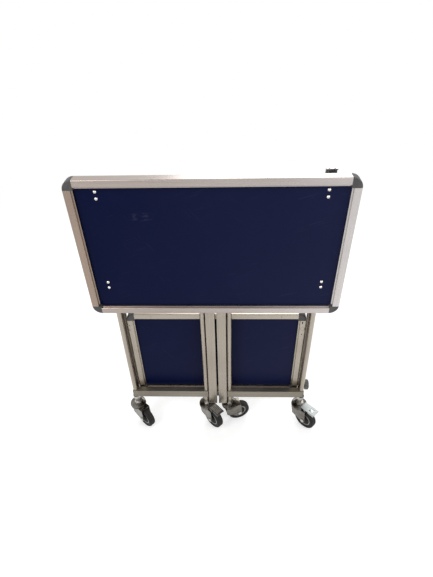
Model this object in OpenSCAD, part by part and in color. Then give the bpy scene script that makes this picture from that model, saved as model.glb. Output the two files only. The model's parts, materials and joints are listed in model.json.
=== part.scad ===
// Folding gate-leg serving trolley, drawn folded: a framed tabletop hangs from a rear frame, two gates lie
// side by side behind it, and a framed lower shelf is stored between the rear posts.
// Frame: +X to the right, +Y to the rear, +Z up, in millimetres, with the floor at z = 0 and the origin
// under the middle of the folded trolley.

/* [Tabletop] */
// Width of the tabletop over its rim
top_w = 700; // [670:5:860]
// Depth of the raised tabletop, which is its height while it hangs
top_d = 410; // [340:5:410]
// Height of the hinge axis that the tabletop swings on
hinge_z = 940; // [936:2:1040]
// Distance from the tabletop's hinge axis up to its rear edge
hinge_to_edge = 34; // [32:1:40]
// Distance from the tabletop's back down to the hinge axis
hinge_back = 5; // [4:0.5:8]

/* [Lower shelf] */
// Height of the stored shelf, which is its depth in use
shelf_d = 368; // [280:1:440]

/* [Rim profile and panels] */
// Width of the rim's front face
rim_w = 19; // [16:0.5:24]
// Depth of the rim from front to back
rim_t = 28; // [26:0.5:34]
// Width of the stepped lip that holds the panel
lip_w = 4; // [3:0.5:6]
// Drop from the rim's face to the stepped lip
lip_drop = 6; // [4:0.5:8]
// Drop from the rim's face to the panel
panel_drop = 12; // [10:0.5:14]
// Thickness of the panels
panel_t = 10; // [8:0.5:11]
// Side length and outer radius of a corner piece
corner_r = 26; // [26:0.5:34]
// Rounding of the rim's outer edges
edge_r = 3; // [1:0.5:4]
// Wall of every profile and tube
wall = 2; // [1.5:0.1:2.5]

/* [Gates] */
// Diameter of the gates' round stiles
stile_d = 16; // [14:0.5:19]
// Distance from a gate's outer stile to its inner stile, centre to centre
gate_reach = 251.5; // [220:0.5:268]
// Depth of the gates' bottom rails
rail_d = 20; // [18:0.5:24]
// Height of the gates' bottom rails
rail_h = 30; // [24:1:38]
// Height of the gates' top rails
top_rail_h = 12; // [10:0.5:16]
// Diameter of the caster sockets below the bottom rails
socket_d = 18; // [16:0.5:20]
// Room between the tops of the gates and the tabletop's lower edge
gate_top_gap = 8; // [6:1:20]

/* [Support bars] */
// Width of a support bar's front face
bar_w = 28; // [24:0.5:32]
// Depth of a support bar
bar_d = 22; // [20:0.5:26]
// Gap between the two support bars
bar_gap = 6.2; // [5:0.1:9]
// Width of the slot that the guide shoes reach through
slot_w = 8; // [6:0.5:10]
// Length of a guide shoe
shoe_l = 24; // [18:1:30]

/* [Rear frame] */
// Side of the square rear posts
post_w = 20; // [18:0.5:24]
// Height of the rear rails
rear_rail_h = 25; // [20:0.5:28]
// Outer radius of the knob that clamps the stored shelf
knob_r = 18; // [14:0.5:20]

/* [Casters] */
// Radius of the wheels
wheel_r = 40; // [33:0.5:48]
// Width of the tyres
tyre_w = 24; // [20:0.5:26]
// Distance from a caster's swivel axis back to its axle
trail = 34; // [30:0.5:36]
// Thickness of the fork sheet
fork_t = 2.5; // [2:0.1:3]
// Radius of the caster stems
stem_r = 5; // [4:0.25:6]
// Radius of the axles
axle_r = 4; // [3:0.25:5]
// Reach of a brake pedal from the swivel axis
pedal_reach = 73; // [68:1:76]
// Width of a brake pedal
pedal_w = 30; // [26:1:34]

/* [Hidden] */
$fn = 64;
running_fit = 0.05;
face_gap = 0.4;
panel_play = 0.2;

// Sections of the rim: u runs inwards from the outer edge, v from the back to the front
flange_t = rim_t - panel_drop - panel_t - panel_play;
slot_top = rim_t - panel_drop + panel_play;
web_w = rim_w - 6;
chamber_w = web_w - 2 * wall;
rim_reach = rim_w + lip_w;
spigot_l = 16;

// Casters and their sockets, from the floor up
fork_in = 15.5;
fork_out = fork_in + fork_t;
hood_in_r = wheel_r + 4.5;
hood_out_r = hood_in_r + fork_t;
neck_top_z = wheel_r + hood_out_r + 1;
race_r = 28;
race_h = 9;
head_top_z = neck_top_z + race_h;
stem_flange_r = 12;
stem_flange_h = 4;
stem_hex_h = 12;
socket_l = 24;
socket_z = head_top_z + stem_flange_h + stem_hex_h;
rail_z = socket_z + socket_l;
socket_bore_r = socket_d / 2 - wall;

// The gates turn about the plane y = 0 before everything moves to the origin
stile_r = stile_d / 2;
gate_half = rail_d / 2;
bar_inner_x = bar_gap / 2;
bar_outer_x = bar_inner_x + bar_w;
bar_mid_x = bar_inner_x + bar_w / 2;
inner_x = bar_outer_x + face_gap + max(stile_r, socket_d / 2);
outer_x = inner_x + gate_reach;
rail_end_x = outer_x + stile_r;
rail_start_x = inner_x - stile_r;
bar_front_y = -gate_half - 2;
bar_mid_y = bar_front_y + bar_d / 2;

// Tabletop while it hangs
top_front_gap = 5;
top_back_y = bar_front_y - top_front_gap;
top_z = hinge_z + hinge_to_edge;
top_bottom_z = top_z - top_d;
hinge_y = top_back_y + hinge_back;

// Gates end below the tabletop's lower edge, so that they can swing under it
stile_top_z = top_bottom_z - gate_top_gap;
rail_top_z = rail_z + rail_h;
collar_h = 11.5;
collar_z = stile_top_z - collar_h;
top_rail_z = collar_z - face_gap - top_rail_h;

// Rear frame
swing_r = norm([stile_r, gate_half]);
post_front_y = swing_r + 0.7;
post_back_y = post_front_y + post_w;
post_mid_y = post_front_y + post_w / 2;
collar_r = post_front_y - face_gap;
shelf_front_y = post_front_y + 1;
shelf_play = 1.5;
post_mid_x = outer_x - 1;
post_in_x = post_mid_x - post_w / 2;
post_out_x = post_mid_x + post_w / 2;
shelf_w = 2 * (post_in_x - shelf_play);
hinge_x = post_in_x - 4;
cap_t = 3;
post_top_z = hinge_z + hinge_back - 4;
shelf_z = rail_z + 1.2;
rear_rail_top_z = shelf_z - face_gap;
lower_rail_z = rear_rail_top_z - rear_rail_h;
upper_rail_z = post_top_z - cap_t - rear_rail_h;

// Shelf and its knob
knob_z = rail_top_z + 1;
knob_start_x = max(post_out_x, outer_x + swing_r) + 0.6;
knob_l = 14;
knob_stem_r = 4;
lobes = 5;

// Tabletop fittings
bolt_head_r = 4.5;
bolt_head_h = 2.6;
bolt_r = 2.5;
bolt_pitch = 18.4;
strap_w = 30;
strap_t = flange_t + panel_play - 1;
panel_back = flange_t + panel_play / 2;
panel_face = panel_back + panel_t;
plate_back = panel_back - strap_t;
strap_l = 42;
knuckle_r = hinge_back + 0.4;
knuckle_w = 16;
pin_r = 2.6;
ear_t = 4;
hinge_side_gap = 0.3;
bracket_t = 3;
screw_r = 2;
screw_head_r = 3.6;
screw_head_h = 1.8;
catch_r = 11;
catch_x = outer_x - bar_mid_y;
catch_drop = outer_x - bar_mid_x + hinge_y;
catch_y = hinge_z - catch_drop - top_bottom_z;
catch_reach = -top_back_y + gate_half - 2;
catch_bolt_y = max(catch_y - 18, rim_reach + strap_l / 2 + 1);

// Support bars
bar_top_z = stile_top_z;
bar_bottom_z = rail_z - 33;
bar_wall = 1.6;
bar_cap_t = 4;
bar_cap_plug = 8;
shoe_play = 0.35;
bar_spigot_r = 7;
bar_spigot_h = 5;
bar_travel = hinge_z + hinge_back + plate_back - catch_reach - face_gap - bar_top_z;
upper_shoe_z = bar_top_z - bar_cap_plug - 2 - shoe_l;
lower_shoe_z = bar_bottom_z + bar_travel + bar_cap_plug + 3;

// Casters: left, centre left, centre right, right
caster_x = [-outer_x, -inner_x, inner_x, outer_x];
heading = [-42, -46, 18, -45];
hub_r = wheel_r - 12;
hub_half = fork_in - 0.5;
hub_boss_r = 9;
axle_boss_r = 9;
axle_head_r = 6.5;
axle_head_h = 3;
pedal_pivot = [trail, neck_top_z + 6.5];
pedal_pivot_r = 1.7;
pedal_knuckle_r = 3.5;
pedal_lug_r = pedal_knuckle_r - 0.3;
pedal_lug_in = pedal_w / 2 - 3.5;
pedal_t = 3;
pedal_z = pedal_pivot[1] + pedal_knuckle_r;
pedal_start_x = 18;
plate_window = 14;

// The origin is under the middle of the box: brake pedal in front, shelf behind
front_y = pedal_reach * sin(heading[1]) - pedal_w / 2 * cos(heading[1]);
back_y = shelf_front_y + rim_t;
origin_y = (front_y + back_y) / 2;

// ---- Helpers ----

function arc(middle, r, from, to, steps = 6) =
    [for (i = [0:steps]) let (a = from + (to - from) * i / steps) middle + r * [cos(a), sin(a)]];

// Moves everything from the plane of the stiles to the origin
module placed() translate([0, -origin_y, 0]) children();

// Stands a panel that is drawn flat, face up and rear edge at +Y, with its face towards -Y
module hung(back_y, bottom_z) translate([0, back_y, bottom_z]) rotate([90, 0, 0]) children();

module on_tabletop() placed() hung(top_back_y, top_bottom_z) children();

module on_shelf() placed() hung(shelf_front_y + rim_t, shelf_z) children();

// A gate is drawn as the right one: side is 1 for the right gate and -1 for the left one
module on_gate(side) placed() mirror([side < 0 ? 1 : 0, 0, 0]) children();

module on_both_sides() placed() for (side = [-1, 1]) mirror([side < 0 ? 1 : 0, 0, 0]) children();

// A caster is drawn with its swivel axis on Z and its wheel behind it along +X
module at_caster(i) placed() translate([caster_x[i], 0, 0]) rotate([0, 0, heading[i]]) children();

// A cylinder along Y, centred on a point of the caster's own X-Z plane
module across(p, r, length) translate([p[0], 0, p[1]]) rotate([90, 0, 0]) cylinder(r = r, h = length, center = true);

// An outline in X-Z, spread evenly along Y
module slab(length) rotate([90, 0, 0]) linear_extrude(length, center = true) children();

module box_tube(size, t, axis) {
    inner = [for (i = [0:2]) i == axis ? size[i] + 2 : size[i] - 2 * t];
    shift = [for (i = [0:2]) i == axis ? -1 : t];
    difference() {
        cube(size);
        translate(shift) cube(inner);
    }
}

module round_tube(d, t, h) difference() {
    cylinder(d = d, h = h);
    translate([0, 0, -1]) cylinder(d = d - 2 * t, h = h + 2);
}

// ---- Framed panels: tabletop and shelf ----

module rim_section() difference() {
    polygon(concat(
        arc([edge_r, edge_r], edge_r, 180, 270),
        [[rim_reach, 0], [rim_reach, flange_t], [web_w, flange_t], [web_w, slot_top],
         [rim_reach, slot_top], [rim_reach, rim_t - lip_drop], [rim_w, rim_t - lip_drop],
         [rim_w, rim_t - 1], [rim_w - 1, rim_t]],
        arc([edge_r, rim_t - edge_r], edge_r, 90, 180)));
    translate([wall, wall]) square([chamber_w, rim_t - 2 * wall]);
}

module rim_bar(length) rotate([90, 0, 90]) linear_extrude(length, center = true) rim_section();

// The four bars of a rim of width w and depth d, with its near edge on Y = 0
module rim(w, d) for (k = [0:3]) {
    along_x = k % 2 == 0;
    translate([0, d / 2, 0]) rotate([0, 0, 90 * k]) translate([0, -(along_x ? d : w) / 2, 0])
        rim_bar((along_x ? w : d) - 2 * corner_r);
}

module corner_section() polygon(concat(
    [[0, 0]], arc([corner_r - edge_r, edge_r], edge_r, -90, 0),
    arc([corner_r - edge_r, rim_t - edge_r], edge_r, 0, 90), [[0, rim_t]]));

// One corner piece with its outer corner towards +X +Y and its two spigots in the rims' chambers
module corner_piece() {
    play = 0.15;
    intersection() {
        rotate_extrude() corner_section();
        cube([corner_r, corner_r, rim_t]);
    }
    for (flip = [0, 1]) mirror([flip, -flip, 0])
        translate([-spigot_l, corner_r - wall - chamber_w + play, wall + play])
            cube([spigot_l + 1, chamber_w - 2 * play, rim_t - 2 * wall - 2 * play]);
}

module corners(w, d) for (sx = [0, 1], sy = [0, 1])
    translate([0, d / 2, 0]) mirror([sx, 0, 0]) mirror([0, sy, 0])
        translate([w / 2 - corner_r, d / 2 - corner_r, 0]) corner_piece();

module panel_board(w, d) {
    inset = web_w + 0.5;
    notch = corner_r + panel_play;
    translate([0, 0, flange_t + panel_play / 2]) linear_extrude(panel_t) difference() {
        translate([-w / 2 + inset, inset]) square([w - 2 * inset, d - 2 * inset]);
        for (sx = [-1, 1], sy = [-1, 1])
            translate([sx * (w / 2 - notch / 2), d / 2 + sy * (d / 2 - notch / 2)])
                square(notch, center = true);
    }
}

// Bolt positions, as [x, y] on the flat tabletop: hinges at the rear, catches at the front
hinge_bolts = [for (s = [-1, 1], k = [0, 1]) [s * hinge_x, top_d - hinge_to_edge - 1 - k * bolt_pitch]];
catch_bolts = [for (s = [-1, 1], k = [-0.5, 0.5]) [s * catch_x, catch_bolt_y + k * bolt_pitch]];

module at_bolts(points) for (p = points) translate([p[0], p[1], 0]) children();

module tabletop_panel() color("midnightblue") on_tabletop() difference() {
    panel_board(top_w, top_d);
    at_bolts(concat(hinge_bolts, catch_bolts)) cylinder(r = bolt_r, h = rim_t);
}

module tabletop_rim() color("silver") on_tabletop() rim(top_w, top_d);

module tabletop_corners() color("dimgray") on_tabletop() corners(top_w, top_d);

// A low dome on a shank that ends inside the plate behind the panel
module dome_bolt() {
    ball_r = (bolt_head_r * bolt_head_r + bolt_head_h * bolt_head_h) / (2 * bolt_head_h);
    translate([0, 0, panel_face]) intersection() {
        translate([0, 0, bolt_head_h - ball_r]) sphere(r = ball_r);
        cylinder(r = bolt_head_r + 1, h = bolt_head_h + 1);
    }
    translate([0, 0, plate_back + 0.5]) cylinder(r = bolt_r, h = panel_face - plate_back);
}

module tabletop_bolts() color("gainsboro") on_tabletop() at_bolts(concat(hinge_bolts, catch_bolts)) dome_bolt();

// Plate on the tabletop's back with the knuckle that the hinge pin passes through
module hinge_strap() {
    axis_y = top_d - hinge_to_edge;
    difference() {
        union() {
            translate([-strap_w / 2, axis_y + 9 - strap_l, plate_back]) cube([strap_w, strap_l, strap_t]);
            translate([-knuckle_w / 2, axis_y - 3, -hinge_back]) cube([knuckle_w, 6, hinge_back + plate_back + 1]);
            translate([0, axis_y, -hinge_back]) rotate([0, 90, 0])
                cylinder(r = knuckle_r, h = knuckle_w, center = true);
        }
        translate([0, axis_y, -hinge_back]) rotate([0, 90, 0])
            cylinder(r = pin_r, h = knuckle_w + 2, center = true);
        for (k = [0, 1]) translate([0, axis_y - 1 - k * bolt_pitch, plate_back + 0.5])
            cylinder(r = bolt_r, h = strap_t + 1);
    }
}

module hinge_straps() color("lightgray") on_tabletop() for (s = [-1, 1]) translate([s * hinge_x, 0, 0]) hinge_strap();

module hinge_pins() color("darkgray") placed() for (s = [-1, 1])
    translate([s * hinge_x, hinge_y, hinge_z]) rotate([0, 90, 0]) {
        cylinder(r = pin_r, h = knuckle_w + 2 * ear_t + 3, center = true);
        for (e = [-1, 1]) translate([0, 0, e * (knuckle_w / 2 + hinge_side_gap + ear_t + 1.2)])
            cylinder(r = pin_r + 1.4, h = 1.6, center = true);
    }

// Plate on the tabletop's back with a cup for the raised support bar, behind its two bolts
module support_catch() {
    difference() {
        union() {
            translate([-strap_w / 2, catch_bolt_y - strap_l / 2, plate_back])
                cube([strap_w, catch_y + catch_r + 2 - catch_bolt_y + strap_l / 2, strap_t]);
            translate([0, catch_y, plate_back - catch_reach]) cylinder(r = catch_r, h = catch_reach + 1);
        }
        translate([0, catch_y, plate_back - catch_reach - 1]) cylinder(r = catch_r - 2.5, h = catch_reach - 3);
        for (k = [-0.5, 0.5]) translate([0, catch_bolt_y + k * bolt_pitch, plate_back + 0.5])
            cylinder(r = bolt_r, h = strap_t + 1);
    }
}

module support_catches() color("darkgray") on_tabletop() for (s = [-1, 1]) translate([s * catch_x, 0, 0]) support_catch();

module shelf_panel() color("midnightblue") on_shelf() panel_board(shelf_w, shelf_d);

// Small holes near the ends of the shelf's upper rim, where its clips were riveted
module rim_holes() for (s = [-1, 1]) translate([s * (shelf_w / 2 - 78), shelf_d - rim_w / 2, rim_t - wall - 1])
    cylinder(r = 1.6, h = wall + 2);

module shelf_rim() color("silver") on_shelf() difference() {
    rim(shelf_w, shelf_d);
    rim_holes();
}

module shelf_corners() color("dimgray") on_shelf() corners(shelf_w, shelf_d);

// ---- Rear frame ----

// Shank holes of the knob through the right post
module knob_bore() translate([post_in_x - 1, post_mid_y, knob_z]) rotate([0, 90, 0])
    cylinder(r = knob_stem_r + running_fit, h = post_w + 2);

module post_tube() translate([post_in_x, post_front_y, lower_rail_z])
    box_tube([post_w, post_w, post_top_z - cap_t - lower_rail_z], wall, 2);

module left_post() color("silver") placed() difference() {
    mirror([1, 0, 0]) post_tube();
    bracket_screw_places() cylinder(r = screw_r, h = bracket_t + 3);
}

module right_post() color("silver") placed() difference() {
    post_tube();
    knob_bore();
    bracket_screw_places() cylinder(r = screw_r, h = bracket_t + 3);
    latch_screw_places() cylinder(r = screw_r, h = bracket_t + 3);
}

module rear_rail(z) translate([-post_in_x, post_front_y, z]) box_tube([2 * post_in_x, post_w, rear_rail_h], wall, 0);

module rear_lower_rail() color("silver") placed() rear_rail(lower_rail_z);

module rear_upper_rail() color("silver") placed() difference() {
    rear_rail(upper_rail_z);
    bracket_screw_places() cylinder(r = screw_r, h = bracket_t + 3);
}

module post_caps() color("dimgray") on_both_sides() translate([post_mid_x, post_mid_y, post_top_z - cap_t]) {
    translate([-post_w / 2, -post_w / 2, 0]) cube([post_w, post_w, cap_t]);
    plug = post_w - 2 * wall - 0.3;
    translate([-plug / 2, -plug / 2, -10]) cube([plug, plug, 10.5]);
}

// A bearing collar round a gate's outer stile or socket, with a foot on the front of the post
module collar(bore_r, z, h) translate([outer_x, 0, z]) difference() {
    union() {
        cylinder(r = collar_r, h = h);
        translate([-post_w * 0.35, 0, 0]) cube([post_w * 0.7, post_front_y, h]);
    }
    translate([0, 0, -1]) cylinder(r = bore_r + running_fit, h = h + 2);
}

module hinge_collars() color("darkgray") on_both_sides() {
    collar(stile_r, collar_z, collar_h);
    collar(socket_d / 2, rail_z - 10, 9);
}

// Screws of the hinge brackets, shanks pointing to the rear
module bracket_screw_places() for (s = [-1, 1], e = [-1, 1])
    translate([s * hinge_x + e * (strap_w / 2 + 3), post_front_y - bracket_t, upper_rail_z + rear_rail_h / 2])
        rotate([-90, 0, 0]) children();

// Screws of the latch plate, shanks pointing to the front
module latch_screw_places() for (k = [0, 1])
    translate([post_mid_x, post_back_y + bracket_t, upper_rail_z + 2 + k * 14]) rotate([90, 0, 0]) children();

module hinge_bracket() {
    half = knuckle_w / 2 + hinge_side_gap;
    base_w = strap_w + 16;
    drop = hinge_z - upper_rail_z;
    translate([-base_w / 2, post_front_y - bracket_t, upper_rail_z + 2])
        cube([base_w, bracket_t, rear_rail_h - 4]);
    for (s = [-1, 1]) translate([s * (half + ear_t / 2), hinge_y, hinge_z]) rotate([0, 90, 0]) difference() {
        linear_extrude(ear_t, center = true) {
            circle(r = knuckle_r);
            polygon([[-knuckle_r, 0], [2, post_front_y - hinge_y - 0.5], [drop - 3, post_front_y - hinge_y - 0.5],
                [knuckle_r, 0]]);
        }
        cylinder(r = pin_r + running_fit, h = ear_t + 2, center = true);
    }
}

module hinge_brackets() color("lightgray") difference() {
    placed() for (s = [-1, 1]) translate([s * hinge_x, 0, 0]) hinge_bracket();
    placed() bracket_screw_places() translate([0, 0, -1]) cylinder(r = screw_r, h = bracket_t + 3);
}

// Angle plate behind the right post, whose lip stands behind the raised tabletop's rear edge
module latch_plate() color("lightgray") placed() {
    plate_w = post_w + 8;
    lip_z = hinge_z + 22;
    lip_y = hinge_y + hinge_to_edge + 4;
    difference() {
        union() {
            translate([post_mid_x - plate_w / 2, post_back_y, upper_rail_z - 4])
                cube([plate_w, bracket_t, lip_z + 3 - upper_rail_z + 4]);
            translate([post_mid_x - plate_w / 2, lip_y, lip_z]) cube([plate_w, post_back_y + bracket_t - lip_y, 3]);
        }
        latch_screw_places() translate([0, 0, -1]) cylinder(r = screw_r, h = bracket_t + 3);
        for (e = [-1, 1]) translate([post_mid_x + e * 7, (lip_y + post_back_y) / 2, lip_z - 1]) cylinder(r = 2.2, h = 5);
    }
}

module pan_screw() {
    translate([0, 0, -screw_head_h]) cylinder(r = screw_head_r, h = screw_head_h);
    translate([0, 0, -0.5]) cylinder(r = screw_r, h = bracket_t + wall + 0.5);
}

module frame_screws() color("darkgray") placed() {
    bracket_screw_places() pan_screw();
    latch_screw_places() pan_screw();
}

// Lobed knob whose stem passes through the right post and ends just short of the shelf
module shelf_knob() color("gray") placed() translate([0, post_mid_y, knob_z]) rotate([0, 90, 0]) {
    translate([0, 0, post_in_x - shelf_play + 0.5]) cylinder(r = knob_stem_r, h = knob_start_x + 4 - post_in_x);
    translate([0, 0, post_out_x + 0.5]) cylinder(r = 8, h = knob_start_x - post_out_x);
    translate([0, 0, knob_start_x]) difference() {
        union() {
            cylinder(r = knob_r, h = knob_l - 3);
            translate([0, 0, knob_l - 3]) cylinder(r1 = knob_r, r2 = knob_r - 4, h = 3);
        }
        for (k = [0:lobes - 1]) rotate([0, 0, (k + 0.5) * 360 / lobes]) translate([knob_r + 3.5, 0, -1])
            cylinder(r = 6.5, h = knob_l + 2);
    }
}

// ---- Gates ----

module gate_rail(side) color("silver") on_gate(side) difference() {
    translate([rail_start_x + 2, -gate_half, rail_z])
        box_tube([rail_end_x - rail_start_x - 4, rail_d, rail_h], wall, 0);
    for (x = [inner_x, outer_x]) translate([x, 0, rail_z - 1]) cylinder(r = socket_bore_r, h = wall + 2);
}

module gate_end_plugs(side) color("silver") on_gate(side) {
    plug = [12, rail_d - 2 * wall - 0.3, rail_h - 2 * wall - 0.3];
    for (end = [0, 1]) translate([end * (rail_end_x - 2) + (1 - end) * rail_start_x, 0, rail_z]) {
        translate([0, -gate_half, 0]) cube([2, rail_d, rail_h]);
        translate([end == 0 ? 1 : 1 - 3, -plug[1] / 2, wall + 0.15]) cube([3, plug[1], plug[2]]);
    }
}

module gate_stile(side, x, top) color("silver") on_gate(side) translate([x, 0, rail_top_z])
    round_tube(stile_d, wall, top - rail_top_z);

module gate_top_rail(side) color("silver") on_gate(side) difference() {
    translate([inner_x, -stile_r + 1, top_rail_z]) cube([outer_x - inner_x, stile_d - 2, top_rail_h]);
    translate([inner_x - 1, -stile_r + 1 + wall, top_rail_z + wall])
        cube([outer_x - inner_x + 2, stile_d - 2 - 2 * wall, top_rail_h - 2 * wall]);
    for (x = [inner_x, outer_x]) translate([x, 0, top_rail_z - 1]) cylinder(r = stile_r, h = top_rail_h + 2);
}

module gate_sockets(side) color("silver") on_gate(side) for (x = [inner_x, outer_x])
    translate([x, 0, socket_z]) round_tube(socket_d, wall, rail_z - socket_z);

// Stem of a caster, pressed into its socket: plug, hexagon, flange and spindle
module caster_stem() {
    translate([0, 0, socket_z]) cylinder(r = socket_bore_r, h = rail_z - socket_z - 1);
    translate([0, 0, head_top_z + face_gap]) cylinder(r = stem_flange_r, h = stem_flange_h);
    translate([0, 0, head_top_z + stem_flange_h]) cylinder(r = socket_bore_r + 1.4, h = stem_hex_h, $fn = 6);
    translate([0, 0, neck_top_z - 4]) cylinder(r = stem_r, h = socket_z - neck_top_z + 5);
}

module caster_stems(side) color("gainsboro") on_gate(side) for (x = [inner_x, outer_x])
    translate([x, 0, 0]) caster_stem();

// Nylon shoe inside the support bar, on a web from the inner stile
module bar_shoe(z) {
    inside = [bar_w - 2 * bar_wall - 2 * shoe_play, bar_d - 2 * bar_wall - 2 * shoe_play];
    translate([bar_mid_x - inside[0] / 2, bar_mid_y - inside[1] / 2, z]) cube([inside[0], inside[1], shoe_l]);
    difference() {
        translate([bar_mid_x, bar_mid_y - slot_w / 2 + 1, z]) cube([inner_x - bar_mid_x, slot_w - 2, shoe_l]);
        translate([inner_x, 0, z - 1]) cylinder(r = stile_r, h = shoe_l + 2);
    }
}

module bar_shoes(side) color("dimgray") on_gate(side) for (z = [lower_shoe_z, upper_shoe_z]) bar_shoe(z);

module support_bar(side) color("silver") on_gate(side) translate([bar_inner_x, bar_front_y, 0]) difference() {
    translate([0, 0, bar_bottom_z + bar_cap_t])
        box_tube([bar_w, bar_d, bar_top_z - bar_bottom_z - 2 * bar_cap_t], bar_wall, 2);
    translate([bar_w - bar_wall - 1, bar_d / 2 - slot_w / 2, bar_bottom_z])
        cube([bar_wall + 2, slot_w, bar_top_z - bar_bottom_z]);
}

module bar_caps(side) color("silver") on_gate(side) for (end = [0, 1])
    translate([bar_inner_x, bar_front_y, end * (bar_top_z - bar_cap_t) + (1 - end) * bar_bottom_z]) {
        cube([bar_w, bar_d, bar_cap_t]);
        if (end == 1) translate([bar_w / 2, bar_d / 2, bar_cap_t - 1]) cylinder(r = bar_spigot_r, h = bar_spigot_h + 1);
        inside = bar_wall + 0.2;
        translate([inside, inside, end == 0 ? 1 : bar_cap_t - bar_cap_plug])
            cube([bar_w - 2 * inside, bar_d - 2 * inside, bar_cap_plug - 1]);
    }

// ---- Casters ----

axle_at = [trail, wheel_r];

module fork_side_outline() {
    intersection() {
        translate(axle_at) circle(r = hood_out_r);
        polygon([[trail + axle_boss_r, wheel_r + 1], [trail + 4, wheel_r + 60], [-60, wheel_r + 60],
            [-20, wheel_r + 6], [trail - axle_boss_r * 0.55, wheel_r - axle_boss_r * 0.84]]);
    }
    polygon([[-19.5, neck_top_z - 12], [trail - 24, neck_top_z - 12], [trail - 24, wheel_r + 6],
        [trail - hood_out_r + 0.4, wheel_r + 6]]);
}

// Round fork: two cheeks and a hood over the wheel, a neck and the ball race that turns on the stem
module fork(i, braked) at_caster(i) difference() {
    union() {
        slab(2 * fork_out) fork_side_outline();
        across(axle_at, axle_boss_r, 2 * fork_out);
        translate([0, 0, neck_top_z - 16]) cylinder(r1 = fork_out, r2 = race_r, h = 14);
        translate([0, 0, neck_top_z - 2]) cylinder(r = race_r, h = 3);
        translate([0, 0, neck_top_z]) cylinder(r = race_r - 1.5, h = 3);
        translate([0, 0, neck_top_z + 2]) cylinder(r = race_r - 0.5, h = race_h - 6.5);
        translate([0, 0, head_top_z - 4.5]) cylinder(r1 = race_r - 0.5, r2 = stem_flange_r + 3, h = 4.5);
        if (braked) pedal_lugs();
    }
    across(axle_at, hood_in_r, 2 * fork_in);
    across(axle_at, axle_r, 2 * fork_out + 2);
    translate([0, 0, wheel_r]) cylinder(r = stem_r + running_fit, h = head_top_z);
    if (braked) across(pedal_pivot, pedal_pivot_r + running_fit, 2 * fork_out);
}

// Two ears on the hood that hold the pedal's trunnions
module pedal_lugs() for (s = [-1, 1]) translate([0, s * (pedal_lug_in + 1.5 + face_gap), 0]) {
    across(pedal_pivot, pedal_lug_r, 3);
    slab(3) polygon([[pedal_pivot[0] - pedal_lug_r, pedal_pivot[1]], [pedal_pivot[0] + pedal_lug_r, pedal_pivot[1]],
        [pedal_pivot[0] + 5, wheel_r + hood_in_r + 0.5], [pedal_pivot[0] - 5, wheel_r + hood_in_r + 0.5]]);
}

module axle(i) at_caster(i) {
    across(axle_at, axle_r, 2 * (fork_out + 2));
    translate([trail, -fork_out - axle_head_h / 2, wheel_r]) rotate([90, 0, 0])
        cylinder(r = axle_head_r, h = axle_head_h, center = true);
    translate([trail, fork_out + axle_head_h / 2, wheel_r]) rotate([90, 0, 0])
        cylinder(r = axle_head_r, h = axle_head_h, center = true, $fn = 6);
}

// Half of the hub's outline, as [radius, distance from the middle plane]
module hub_section() polygon([[axle_r + 0.08, -hub_half], [hub_boss_r, -hub_half], [hub_boss_r, -5],
    [hub_r - 7, -4], [hub_r - 6, -9], [hub_r, -9.5], [hub_r, 9.5], [hub_r - 6, 9], [hub_r - 7, 4],
    [hub_boss_r, 5], [hub_boss_r, hub_half], [axle_r + 0.08, hub_half]]);

module tyre_section() {
    round_r = 6;
    half = tyre_w / 2;
    polygon(concat([[hub_r, -9.5], [hub_r + 4, -half]],
        arc([wheel_r - round_r, -half + round_r], round_r, -90, 0),
        arc([wheel_r - round_r, half - round_r], round_r, 0, 90),
        [[hub_r + 4, half], [hub_r, 9.5]]));
}

module wheel_part(i) at_caster(i) translate([trail, 0, wheel_r]) rotate([90, 0, 0]) rotate_extrude($fn = 96) children();

// A turned-down lip along each side of the pedal's outer half
module pedal_lip() polygon([[trail + 12, pedal_z + 1], [trail + 14, pedal_z - 4], [pedal_reach - 2, pedal_z - 7],
    [pedal_reach, pedal_z + 1]]);

// Level plate over the wheel on a knuckle between the fork's lugs
module pedal_body() {
    translate([pedal_start_x, -pedal_w / 2, pedal_z]) cube([pedal_reach - pedal_start_x, pedal_w, pedal_t]);
    across(pedal_pivot, pedal_knuckle_r, 2 * pedal_lug_in);
    translate([trail - pedal_knuckle_r, -pedal_lug_in, pedal_pivot[1]])
        cube([2 * pedal_knuckle_r, 2 * pedal_lug_in, pedal_knuckle_r + 1]);
    across(pedal_pivot, pedal_pivot_r, 2 * pedal_lug_in + 6);
    for (s = [-1, 1]) translate([0, s * (pedal_w / 2 - 1), 0]) slab(2) pedal_lip();
}

module ribbed_pedal(i) color("dimgray") at_caster(i) {
    pedal_body();
    for (k = [-2:2]) translate([pedal_start_x + 12, k * pedal_w / 6 - 1, pedal_z + pedal_t - 0.5])
        cube([pedal_reach - pedal_start_x - 18, 2, 1.7]);
}

module plain_pedal(i) color("gainsboro") at_caster(i) difference() {
    pedal_body();
    translate([(trail + pedal_reach) / 2 + 1, 0, pedal_z]) cube([plate_window, plate_window, 20], center = true);
}

// ---- Nodes ----

left_post();
right_post();
rear_lower_rail();
rear_upper_rail();
post_caps();
hinge_collars();
hinge_brackets();
latch_plate();
frame_screws();
shelf_knob();
tabletop_panel();
tabletop_rim();
tabletop_corners();
tabletop_bolts();
hinge_straps();
hinge_pins();
support_catches();
shelf_panel();
shelf_rim();
shelf_corners();
gate_rail(-1);  // left_gate_rail
gate_stile(-1, outer_x, stile_top_z);  // left_gate_outer_stile
gate_stile(-1, inner_x, stile_top_z);  // left_gate_inner_stile
gate_top_rail(-1);  // left_gate_top_rail
gate_sockets(-1);  // left_gate_sockets
gate_end_plugs(-1);  // left_gate_end_plugs
bar_shoes(-1);  // left_bar_shoes
caster_stems(-1);  // left_caster_stems
support_bar(-1);  // left_support_bar
bar_caps(-1);  // left_bar_caps
gate_rail(1);  // right_gate_rail
gate_stile(1, outer_x, stile_top_z);  // right_gate_outer_stile
gate_stile(1, inner_x, stile_top_z);  // right_gate_inner_stile
gate_top_rail(1);  // right_gate_top_rail
gate_sockets(1);  // right_gate_sockets
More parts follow.
